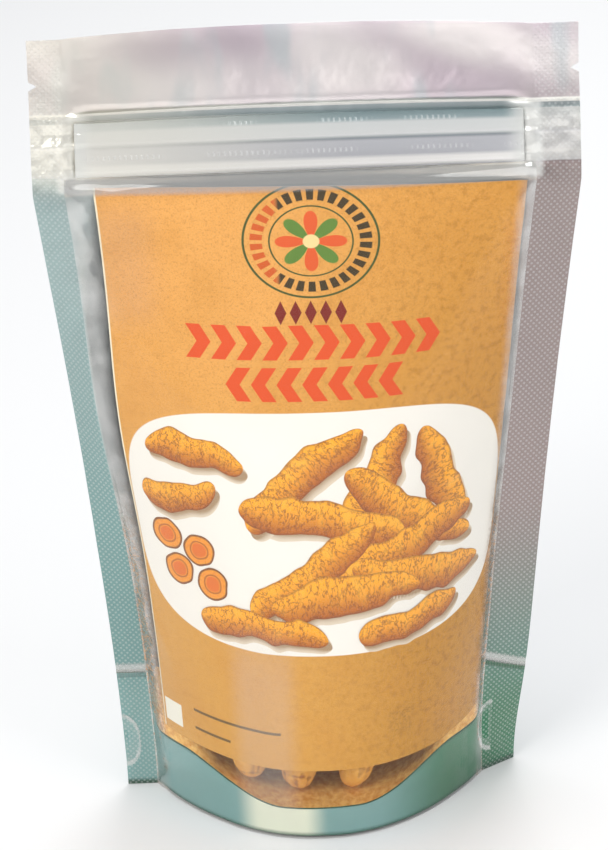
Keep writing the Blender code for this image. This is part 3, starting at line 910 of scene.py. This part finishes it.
def card_medallion(f, u, y, colour):
    """Two rings, with beads between them and a flower of eight petals inside."""
    ring_x = (u - MEDALLION[0]) / MEDALLION_HALF[0]
    ring_y = (y - MEDALLION[1]) / MEDALLION_HALF[1]
    radius = (ring_x * ring_x + ring_y * ring_y).math("SQRT")
    angle = ring_y.math("ARCTAN2", ring_x)
    rings = radius.between(0.975, 1.0, 0.01) + radius.between(0.60, 0.615, 0.01)
    colour = f.mix(rings, colour, tone(70, 84, 38))
    beads = (angle * (15.0 / math.pi)).math("FRACT").between(0.22, 0.78, 0.06)
    beads = beads * radius.between(0.72, 0.88, 0.02)
    right_side = ring_x.step(-0.55, -0.45)
    colour = f.mix(beads * right_side, colour, tone(66, 52, 26))
    colour = f.mix(beads * (1.0 - right_side), colour, tone(206, 92, 32))
    lobe = (angle * 4.0).math("COSINE")
    petal = radius / (abs(lobe) ** 0.45 + 0.02)
    inside = 1.0 - petal.step(0.50, 0.53)
    every_other = lobe.step(-0.05, 0.05)
    colour = f.mix(inside * every_other, colour, tone(222, 92, 40))
    colour = f.mix(inside * (1.0 - every_other), colour, tone(96, 132, 52))
    return f.mix(1.0 - radius.step(0.11, 0.13), colour, tone(244, 214, 150))


def card_marks(f, u, y, colour):
    """A row of diamonds over two bands of arrow marks, the lower one pointing the other way."""
    cell = ((u + DIAMOND_HALF_ROW) / DIAMOND_PITCH).math("FRACT") - 0.5
    diamond = abs(cell) * 2.4 + abs(y - DIAMOND_HEIGHT) / 3.2
    row = (1.0 - diamond.step(0.9, 1.0)) * u.between(-DIAMOND_HALF_ROW, DIAMOND_HALF_ROW, 0.1)
    colour = f.mix(row, colour, tone(126, 34, 22))
    upper = chevrons(u, y - 149.2, -33.0, 39.0, 4.6, 10, 0.7)
    lower = chevrons(u, y - 138.2, -25.0, 25.0, 4.6, 7, -0.7)
    return f.mix(upper + lower, colour, tone(224, 84, 34))


def card_fields(f, u, y, colour):
    """The white rounded field of the drawing, and an empty tile and two ruled lines below it."""
    field_x = abs((u - WHITE_FIELD[0]) / WHITE_FIELD_HALF[0])
    field_y = abs((y - WHITE_FIELD[1]) / WHITE_FIELD_HALF[1])
    rounded = field_x**3.8 + field_y**3.8
    colour = f.mix(1.0 - rounded.step(0.985, 1.015), colour, tone(243, 238, 230))
    tile = u.between(-57.0, -49.6, 0.15) * y.between(25.2, 32.4, 0.15)
    colour = f.mix(tile, colour, tone(240, 236, 222))
    lines = y.between(33.2, 33.9, 0.15) * u.between(-44.0, -14.0, 0.2)
    lines = lines + y.between(27.2, 27.9, 0.15) * u.between(-44.0, -31.0, 0.2)
    return f.mix(lines * 0.85, colour, tone(84, 66, 40))


def card_grains(f, flat, u, y, colour):
    """Two small scatters of turmeric grains, high on the right and low beside the middle."""
    high = f.grain(flat, 3.2, 1.0).step(0.60, 0.66)
    high = high * (u.step(53.0, 58.0) * y.between(150.0, 174.0, 6.0))
    colour = f.mix(high, colour, tone(206, 104, 30))
    low = f.grain(flat, 2.6, 1.0).step(0.60, 0.64) * u.between(23.0, 28.0, 3.0)
    return f.mix(low * y.between(32.0, 37.0, 4.0), colour, tone(112, 78, 26))


def card_finish():
    """The printed card: its ground, the print on it, a pale cut edge and a white back."""
    f = Finish("printed card")
    u, t, behind = f.flat()
    y = t - u * math.tan(CARD_TILT)
    flat = f.vector(u, t)
    colour = card_ground(f, flat, u, y)
    colour = card_medallion(f, u, y, colour)
    colour = card_marks(f, u, y, colour)
    colour = card_fields(f, u, y, colour)
    colour = card_grains(f, flat, u, y, colour)
    colour = f.mix(1.0 - u.step(CARD_LEFT + 0.35, CARD_LEFT + 0.6), colour, tone(255, 244, 214))
    colour = f.mix(behind, colour, tone(236, 232, 224))
    fibre = f.grain(flat, 5.0, 2.0)
    shader = f.principled(
        Base_Color=colour, Roughness=0.6, Specular_IOR_Level=0.25, Normal=f.bump(fibre, 0.00003)
    )
    return f.done(shader)


def ink_finish():
    """Printed picture of a root: lit from above, darker at its edges, with dark wrinkles.

    The flat places are the distance along it, the share across it from -1 to 1, and a number of
    its own.
    """
    f = Finish("printed root")
    along, beside, own = f.flat()
    light = beside.step(-1.1, 0.7)
    colour = f.mix(light, tone(178, 92, 4), tone(252, 172, 22))
    place = f.vector(along * 0.55, beside * 1.5, own)
    lines = abs(f.grain(place, 1.0, 3.0, 0.6) - 0.5)
    colour = f.mix((1.0 - lines.step(0.0, 0.05)) * 0.75, colour, tone(132, 62, 8))
    pits = f.cells(f.vector(along * 1.1, beside * 2.6, own), 1.0)
    colour = f.mix((1.0 - pits.step(0.1, 0.35)) * 0.5, colour, tone(134, 68, 12))
    bloom = f.grain(f.vector(along * 0.4, beside * 0.8, own + 50.0), 1.0, 2.0)
    colour = f.mix(bloom.step(0.5, 0.7) * light * 0.55, colour, tone(252, 184, 48))
    edge = abs(beside).step(0.82, 1.0)
    colour = f.mix(edge * 0.6, colour, tone(122, 62, 14))
    return f.done(f.principled(Base_Color=colour, Roughness=0.42))


def shadow_finish():
    """Printed shadow under a root: warm grey, paler at its rim."""
    f = Finish("printed shadow")
    _, beside, _ = f.flat()
    colour = f.mix(abs(beside).step(0.5, 1.0), tone(168, 138, 104), tone(224, 208, 186))
    return f.done(f.principled(Base_Color=colour, Roughness=0.42))


def slice_finish():
    """Printed cut disc: brown skin, paler flesh, a dark ring and an orange core."""
    f = Finish("printed slice")
    along, beside, own = f.flat()
    share = along / (SLICE / 2.0)
    radius = (share * share + beside * beside * (1.0 - share * share)).math("SQRT")
    grain = f.grain(f.vector(along, beside * 4.0, own), 0.8, 3.0)
    colour = f.mix(radius.step(0.40, 0.50), tone(226, 112, 16), tone(240, 152, 36))
    colour = f.mix(radius.between(0.52, 0.58, 0.04) * 0.8, colour, tone(172, 84, 14))
    colour = f.mix(radius.step(0.84, 0.92), colour, tone(128, 76, 26))
    colour = f.mix(grain.step(0.5, 0.7) * 0.3, colour, tone(196, 100, 20))
    return f.done(f.principled(Base_Color=colour, Roughness=0.42))


def joined(*runs):
    """Even steps over several runs in turn, each (start, end, count), without repeating their ends."""
    inner = [np.linspace(*run)[:-1] for run in runs[:-1]]
    return np.concatenate([*inner, np.linspace(*runs[-1])])


def film_columns():
    """Flat columns of both films, closer together in the side seals."""
    left = U_LEFT + SEAL_COLUMNS
    right = U_RIGHT - SEAL_COLUMNS
    return joined((-WIDTH / 2, left, 22), (left, right, 92), (right, WIDTH / 2, 28))


def film_rows():
    """Heights of both films' rows, closer together at the zip and in the header."""
    return joined(
        (0.0, ZIP_ROWS_LOW, 160), (ZIP_ROWS_LOW, ZIP_ROWS_HIGH, 52), (ZIP_ROWS_HIGH, HEIGHT, 31)
    )


def notched(u, t):
    """Columns drawn in round the tear notches: a V cut in each side edge."""
    cut = NOTCH_DEPTH * np.clip(1.0 - np.abs(t - (HEIGHT - NOTCH_DROP)) / NOTCH_HALF, 0.0, 1.0)
    outer = np.clip((np.abs(u) - 70.0) / 5.0, 0.0, 1.0)
    return u - np.sign(u) * cut * outer


def film(name, side, finish, slot):
    """One panel of the pouch: two grids, its outer and inner faces."""
    u, t = np.meshgrid(film_columns(), film_rows())
    u = notched(u, t)
    outer = skin(u, t, side, 0.0)
    inner = skin(u, t, side, FILM_FINE)
    flat = np.stack([u, t, np.full_like(u, side)], axis=-1)
    piece = wall(name, outer, inner, flat, finish)
    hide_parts("film_front" if side < 0 else "film_back")


def bottom_gusset(finish):
    """The gusset: up the front band, over a fold 40 mm long on each side, down the back band.

    Between the bands its height is the third side of a right triangle: the leaf's length and half
    the depth.
    """
    between = column(np.sin(np.linspace(-1.0, 1.0, 101) * math.pi / 2))
    left = np.linspace(-WIDTH / 2, U_LEFT, 9)[:-1]
    right = np.linspace(U_RIGHT, WIDTH / 2, 12)[1:]
    band = np.linspace(1.0, 2.0, 16)
    q = np.concatenate([-band[:0:-1], np.linspace(-1.0, 1.0, 61), band[1:]])
    u, q = np.meshgrid(np.concatenate([left, between, right]), q)
    top = np.minimum(band_top(np.clip(across(u), -1.0, 1.0)), fold_height(u) - 0.5)
    low = GUSSET_HEM + (top - GUSSET_HEM) * (2.0 - np.abs(q))
    depth = GUSSET_DEPTH + FILM_FINE / 2
    front = skin(u, top, -1.0, depth)
    back = skin(u, top, 1.0, depth)
    on_band = np.where((q < 0.0)[..., None], skin(u, low, -1.0, depth), skin(u, low, 1.0, depth))
    half_depth = (back[..., 1] - front[..., 1]) / 2.0
    rise = np.sqrt(np.clip((GUSSET - top) ** 2 - half_depth**2, 0.04, None))
    rise = rise * (1.0 - 0.9 * weld(u))
    leg = np.abs(np.clip(q, -1.0, 1.0)) ** GUSSET_LEG
    share = (np.sign(q) * leg + 1.0) / 2.0
    free = front + (back - front) * share[..., None]
    free[..., 2] += rise * (1.0 - leg)
    points = np.where((np.abs(q) > 1.0)[..., None], on_band, free)
    away = normals(points)
    away = away * (FILM_FINE / 2 * np.sign(away[len(away) // 2, away.shape[1] // 2, 2]))
    leaf = DUST_MARK - LEAF_RUN * (q + 1.0)
    flat = np.stack([u, np.where(np.abs(q) > 1.0, low, leaf), q], axis=-1)
    piece = wall("gusset", points + away, points - away, flat, finish)
    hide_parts("film_gusset")


def card(finish):
    """The printed card: a grid from its lower edge, which clears the bottom seal, to its top edge."""
    u, share = np.meshgrid(np.linspace(CARD_LEFT, CARD_RIGHT, 121), np.linspace(0.0, 1.0, 151))
    v = across(u)
    tilt = math.tan(CARD_TILT) * u
    low = np.maximum(CARD_LOW + tilt, band_top(v) + CARD_CLEAR + CARD_CORNER * np.abs(v) ** 6)
    t = low + (CARD_HIGH + tilt - low) * share
    flat = np.stack([u, t, np.zeros_like(u)], axis=-1)
    outer = card_at(u, t, 0.0)
    piece = wall("label", outer, card_at(u, t, -CARD), flat, finish)
    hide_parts("label_card")


def picture(name, spots, finish, blunt=4.0, lumpy=1.0):
    """Printed shapes on the card, each a thin plate: (u, t, length, width, angle, bend, layer).

    At share s along it, a shape's half width is the square root of 1 - |s|^blunt, uneven by
    waves and noise, on both sides of a line that bends.
    """
    points = []
    flats = []
    faces = []
    s, w = np.meshgrid(np.sin(np.linspace(-1.0, 1.0, 61) * math.pi / 2), np.linspace(-1.0, 1.0, 15))
    for number, (u0, t0, length, width, angle, bend, layer) in enumerate(spots):
        knots = noise(np.stack([s * length / 7.0, np.sign(w) * 3.0 + number], axis=-1), 1.0, 31)
        uneven = 1.0 + lumpy * (0.10 * np.sin(4.0 * s + number) + 0.14 * knots - 0.14 * s)
        half = width / 2.0 * np.sqrt(np.clip(1.0 - np.abs(s) ** blunt, 0.0004, 1.0)) * uneven
        x = s * length / 2.0
        y = w * half + bend * (0.4 - s**2) + lumpy * 0.5 * np.sin(7.0 * s + 2.0 * number)
        u = u0 + x * math.cos(angle) - y * math.sin(angle)
        t = t0 + x * math.sin(angle) + y * math.cos(angle)
        height = INK_LAYER * layer
        outer = card_at(u, t, height + INK)
        inner = card_at(u, t, height)
        points += [outer.reshape(-1, 3), inner.reshape(-1, 3)]
        lit = w if math.cos(angle) > 0.0 else -w
        flat = np.stack([x, lit, np.full_like(s, 3.7 * number)], axis=-1).reshape(-1, 3)
        flats += [flat, flat]
        faces += (np.array(wall_faces(*s.shape)) + 2 * s.size * number).tolist()
    return new_piece(name, np.concatenate(points), faces, np.concatenate(flats), finish)


def printed_field():
    """The drawing in the white field: roots fanned over each other, some alone, and cut discs."""
    places = []
    for k, (u0, t0, length, degrees) in enumerate(PILE):
        bend = 2.2 - 1.5 * (k % 4)
        places.append((u0, t0, length, 10.0 + 0.5 * (k % 3), math.radians(degrees), bend, 1 + k))
    for u0, t0, length, width, degrees, bend, layer in LONE_ROOTS:
        places.append((u0, t0, length, width, math.radians(degrees), bend, layer))
    picture("printed_roots", places, ink_finish())
    cast = [(u + 1.2, t - 2.0, *rest, 0) for u, t, *rest, _ in places]
    picture("printed_shadows", cast, shadow_finish())
    rounds = [(u, t, SLICE, SLICE * 0.94, 0.4 * k, 0.0, 2 + k) for k, (u, t) in enumerate(DISCS)]
    picture("printed_slices", rounds, slice_finish(), blunt=2.0, lumpy=0.25)


def rod_of(node):
    """Centre, axis, side and depth directions, length, radius and bend of a solid finger."""
    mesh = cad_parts[node].data
    flat = np.empty(len(mesh.vertices) * 3)
    mesh.vertices.foreach_get("co", flat)
    points = np.unique(np.round(flat.reshape(-1, 3) / MM, 3), axis=0)
    centre = points.mean(0)
    axis = np.linalg.svd(points - centre)[2][0]
    axis = axis * np.sign(axis[2])
    side = np.cross(axis, (0.0, 1.0, 0.0))
    side = side / np.linalg.norm(side)
    depth = np.cross(side, axis)
    spans = [(points - centre) @ way for way in (axis, side, depth)]
    centre = centre + sum(way * (s.min() + s.max()) / 2 for way, s in zip((axis, side, depth), spans))
    length = np.ptp(spans[0])
    share = ((points - centre) @ axis) / (length / 2.0)
    bend = np.polyfit(share**2, (points - centre) @ side, 1)[0]
    return centre, axis, side, depth, length, np.ptp(spans[2]) / 2.0, bend


def finger(node, number, finish):
    """A dried finger: rings of a blunt rod, wrinkled along it, with ring scars and a few buds.

    The radius at share c along it is that of the solid, times the square root of 1 - c^4, times
    one plus the relief.
    """
    centre, axis, side, depth, length, radius, bend = rod_of(node)
    if node in SETTLED:
        centre = centre + np.array(SETTLED[node])
    draw = random.Random(number)
    c, turn = np.meshgrid(
        np.sin(np.linspace(-1.0, 1.0, 60) * math.pi / 2 * 0.985),
        np.linspace(0.0, 2.0 * math.pi, 40, endpoint=False),
        indexing="ij",
    )
    round_form = np.stack([c * length / 2.0, radius * np.cos(turn), radius * np.sin(turn)], axis=-1)
    seed = 40 + number
    warp = noise(round_form, 7.0, seed)
    wrinkles = noise(round_form + warp[..., None], (7.5, 1.5, 1.5), seed + 1)
    wrinkles = 1.0 - 2.0 * np.abs(wrinkles)
    fine = noise(round_form, (2.4, 0.8, 0.8), seed + 2)
    scars = np.cos(c * length / 2.0 * (2.0 * math.pi / draw.uniform(5.5, 7.5)) + 1.6 * warp)
    scars = np.clip(scars, 0.6, 1.0) - 0.6
    lumps = 0.06 * noise(round_form, 9.0, seed + 3)
    relief = 0.045 * wrinkles + 0.02 * fine - 0.11 * scars + lumps
    for _ in range(3):
        at = draw.uniform(-0.8, 0.8)
        facing = draw.uniform(0.0, 2.0 * math.pi)
        near = np.exp(-(((c - at) * length / 7.0) ** 2) - ((1.0 - np.cos(turn - facing)) / 0.16))
        relief = relief + draw.uniform(0.06, 0.12) * near
    girth = 0.96 * radius * np.sqrt(1.0 - c**4) * (1.0 + relief)
    along = c * length / 2.0
    sideways = girth * np.cos(turn) + bend * (c**2 - 0.5)
    inward = girth * np.sin(turn)
    rings = (
        centre
        + along[..., None] * axis
        + sideways[..., None] * side
        + inward[..., None] * depth
    )
    flat = np.stack([along, turn * radius, wrinkles * 0.7 - 1.6 * scars + 0.3 * fine], axis=-1)
    piece = tube(f"root_{number:02d}", rings, flat, finish, sharp=80.0)
    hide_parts(node)


def rail(name, side, profile, node, finish):
    """A zip strip: a profile of (depth, t) carried across the pouch between the side seals."""
    stations = np.linspace(U_LEFT + ZIP_END, U_RIGHT - ZIP_END, 120)
    depth, t = np.array(profile).T
    u, depth = np.meshgrid(stations, depth, indexing="ij")
    t = np.broadcast_to(t, u.shape)
    x, y, z, v = middle(u, t)[:4]
    y = y + side * depth * zip_fade(v) + waves(u, t) + SHIFT
    rings = np.stack([x, y, z], axis=-1)
    flat = np.stack([u, t, depth], axis=-1)
    piece = tube(name, rings, flat, finish, sharp=40.0)
    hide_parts(node)


def zip_profiles():
    """Profiles of the two strips: one with a hooked rib, one with two jaws that hold it."""
    outer = ZIP_FACE + ZIP_FLANGE
    tip = ZIP_FACE - ZIP_HOOK
    hook = 0.2
    near = ZIP_RIB_HALF + GAP
    far = near + ZIP_JAW
    rib = [
        (outer, ZIP_LOW),
        (ZIP_FACE, ZIP_LOW),
        (ZIP_FACE, ZIP_TRACK - ZIP_RIB_HALF + hook),
        (tip + 0.35, ZIP_TRACK - ZIP_RIB_HALF + hook),
        (tip + 0.2, ZIP_TRACK - ZIP_RIB_HALF),
        (tip, ZIP_TRACK),
        (tip + 0.2, ZIP_TRACK + ZIP_RIB_HALF),
        (tip + 0.35, ZIP_TRACK + ZIP_RIB_HALF - hook),
        (ZIP_FACE, ZIP_TRACK + ZIP_RIB_HALF - hook),
        (ZIP_FACE, ZIP_HIGH),
        (outer, ZIP_HIGH),
        (outer + 0.2, ZIP_TRACK + 1.6),
        (outer + 0.2, ZIP_TRACK - 1.6),
    ]
    groove = [
        (outer, ZIP_LOW),
        (ZIP_FACE, ZIP_LOW),
        (ZIP_FACE, ZIP_TRACK - far),
        (tip + 0.15, ZIP_TRACK - far),
        (tip, ZIP_TRACK - near - 0.3),
        (tip + 0.15, ZIP_TRACK - near),
        (ZIP_FACE, ZIP_TRACK - near),
        (ZIP_FACE, ZIP_TRACK + near),
        (tip + 0.15, ZIP_TRACK + near),
        (tip, ZIP_TRACK + near + 0.3),
        (tip + 0.15, ZIP_TRACK + far),
        (ZIP_FACE, ZIP_TRACK + far),
        (ZIP_FACE, ZIP_HIGH),
        (outer, ZIP_HIGH),
    ]
    return rib, groove


def camera():
    """A camera at the photograph's distance, height and roll."""
    data = bpy.data.cameras.new("camera")
    data.lens = CAMERA_LENS
    data.sensor_width = 36.0
    data.clip_start = 0.01
    data.clip_end = 50.0
    flat = math.cos(CAMERA_ELEVATION)
    back = np.array(
        [math.sin(CAMERA_YAW) * flat, -math.cos(CAMERA_YAW) * flat, math.sin(CAMERA_ELEVATION)]
    )
    right = np.cross(-back, (0.0, 0.0, 1.0))
    right = right / np.linalg.norm(right)
    up = np.cross(back, right)
    turned_x = math.cos(CAMERA_ROLL) * right + math.sin(CAMERA_ROLL) * up
    turned_y = -math.sin(CAMERA_ROLL) * right + math.cos(CAMERA_ROLL) * up
    place = (np.array(CAMERA_TARGET) + back * CAMERA_DISTANCE) * MM
    matrix = np.eye(4)
    matrix[:3, 0] = turned_x
    matrix[:3, 1] = turned_y
    matrix[:3, 2] = back
    matrix[:3, 3] = place
    eye = bpy.data.objects.new("camera", data)
    eye.matrix_world = Matrix(matrix.tolist())
    bpy.context.scene.collection.objects.link(eye)
    bpy.context.scene.camera = eye


def soft_light(name, place, size, power, colour=(1.0, 1.0, 1.0), mirrored=True):
    """A rectangular light aimed at the middle of the pouch, sizes in metres.

    Shiny film shows it only when it is mirrored.
    """
    data = bpy.data.lights.new(name, "AREA")
    data.shape = "RECTANGLE"
    data.size, data.size_y = size
    data.energy = power
    data.color = colour
    lamp = bpy.data.objects.new(name, data)
    lamp.location = place
    aim = Matrix.Translation((0.0, 0.0, 0.11)).translation - lamp.location
    lamp.rotation_euler = aim.to_track_quat("-Z", "Y").to_euler()
    lamp.visible_glossy = mirrored
    bpy.context.scene.collection.objects.link(lamp)


def studio():
    """A plain pale floor, an even pale world and five soft lights, the front one not mirrored."""
    bpy.context.scene.view_settings.view_transform = "Standard"
    world = bpy.data.worlds.new("studio")
    world.use_nodes = True
    world.node_tree.nodes["Background"].inputs["Color"].default_value = (0.95, 0.97, 1.0, 1.0)
    world.node_tree.nodes["Background"].inputs["Strength"].default_value = 0.5
    bpy.context.scene.world = world
    mesh = bpy.data.meshes.new("floor")
    reach = 6.0
    corners = [(-reach, -reach, 0.0), (reach, -reach, 0.0), (reach, reach, 0.0), (-reach, reach, 0.0)]
    mesh.from_pydata(corners, [], [(0, 1, 2, 3)])
    f = Finish("pale floor")
    mesh.materials.append(f.done(f.principled(Base_Color=(0.86, 0.86, 0.86, 1.0), Roughness=0.6)))
    floor = bpy.data.objects.new("floor", mesh)
    bpy.context.scene.collection.objects.link(floor)
    soft_light("key", (-0.75, -0.95, 1.05), (0.7, 0.7), 8.5, (1.0, 0.98, 0.95))
    soft_light("fill", (1.0, -0.8, 0.7), (0.6, 0.9), 3.5, (0.95, 0.97, 1.0))
    soft_light("front", (0.0, -1.3, 0.22), (0.9, 0.3), 3.6, mirrored=False)
    soft_light("top", (-0.1, 0.1, 1.4), (1.0, 0.6), 6.0)
    soft_light("rim", (0.3, 1.1, 0.9), (0.8, 0.5), 5.0)


def build():
    """Make every piece of the pouch."""
    silver = silver_finish()
    clear = clear_finish()
    milky = zip_finish()
    turmeric = root_finish("dried turmeric", tone(218, 154, 60), tone(158, 94, 30), tone(240, 186, 94))
    film("front_film", -1.0, clear, "clear_film")
    film("back_film", 1.0, silver, "silver_film")
    bottom_gusset(silver)
    card(card_finish())
    printed_field()
    rib, groove = zip_profiles()
    rail("zip_front", -1.0, rib, "zip_rib", milky)
    rail("zip_back", 1.0, groove, "zip_groove", milky)
    nodes = sorted(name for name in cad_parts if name.startswith("finger_"))
    for number, node in enumerate(nodes, start=1):
        finger(node, number, turmeric)


camera()
studio()
build()
